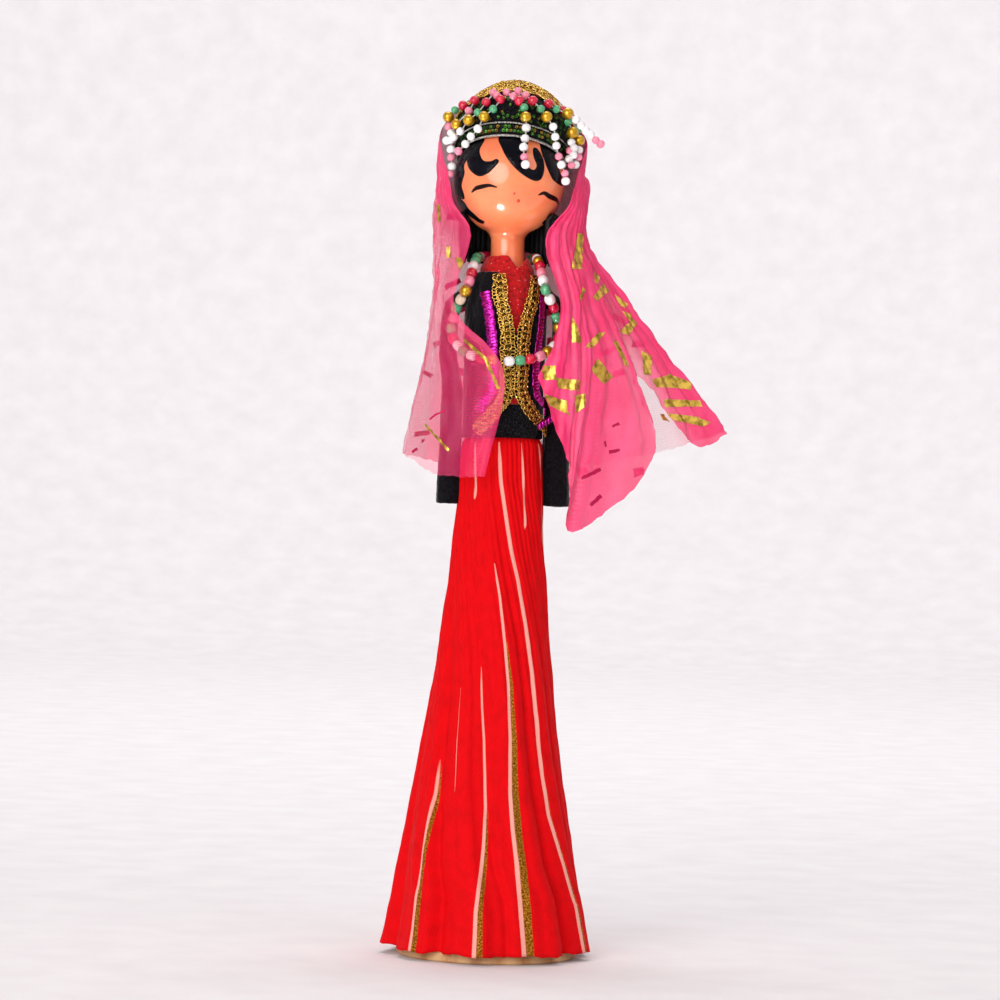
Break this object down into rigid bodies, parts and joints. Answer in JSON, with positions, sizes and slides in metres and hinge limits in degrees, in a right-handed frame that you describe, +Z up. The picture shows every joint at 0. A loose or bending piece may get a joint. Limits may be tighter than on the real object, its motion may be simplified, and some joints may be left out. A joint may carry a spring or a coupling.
{
  "type": "wooden doll",
  "caption": "Standing turned wooden folk doll in a long pleated skirt, jacket, bead necklace, bead-fringed cap and sheer veil.",
  "frame": {"origin": "centre of the wooden foot's flat underside", "axes": "+Z up along the figure, -Y the way the doll faces, +X to the viewer's right, where the veil's corner spreads"},
  "size_m": [0.1113, 0.0724, 0.3005],
  "materials": {
    "lacquered_wood": "turned wood, lacquered flesh orange on head and neck, raw tan below, painted black hair and eyes",
    "red_cotton": "woven red cotton with pale pink and gold stripes",
    "black_velvet": "matte pile",
    "black_hair": "soft strands",
    "gold_braid": "looped metallised thread",
    "magenta_braid": "metallised thread",
    "silver_cord": "thin twisted metallised cord",
    "glass_beads": "glossy beads in red, pink, green, gold and white",
    "pink_organza": "sheer organza with gold foil print"
  },
  "bodies": {
    "root": {"wooden_figure": "lacquered_wood", "skirt": "red_cotton", "blouse": "red_cotton", "waistband": "black_velvet", "jacket": "black_velvet", "gold_braid_left": "gold_braid", "gold_braid_right": "gold_braid", "magenta_braid_left": "magenta_braid", "magenta_braid_right": "magenta_braid", "back_hair": "black_hair", "cap": "black_velvet", "crown_braid": "gold_braid", "brim_cord": "silver_cord", "bead_strand_01": "glass_beads", "bead_strand_02": "glass_beads", "bead_strand_03": "glass_beads", "bead_strand_04": "glass_beads", "bead_strand_05": "glass_beads", "bead_strand_06": "glass_beads", "bead_strand_07": "glass_beads", "bead_strand_08": "glass_beads", "bead_strand_09": "glass_beads", "bead_strand_10": "glass_beads", "bead_strand_11": "glass_beads", "bead_necklace": "glass_beads", "veil": "pink_organza"}
  },
  "joints": []
}
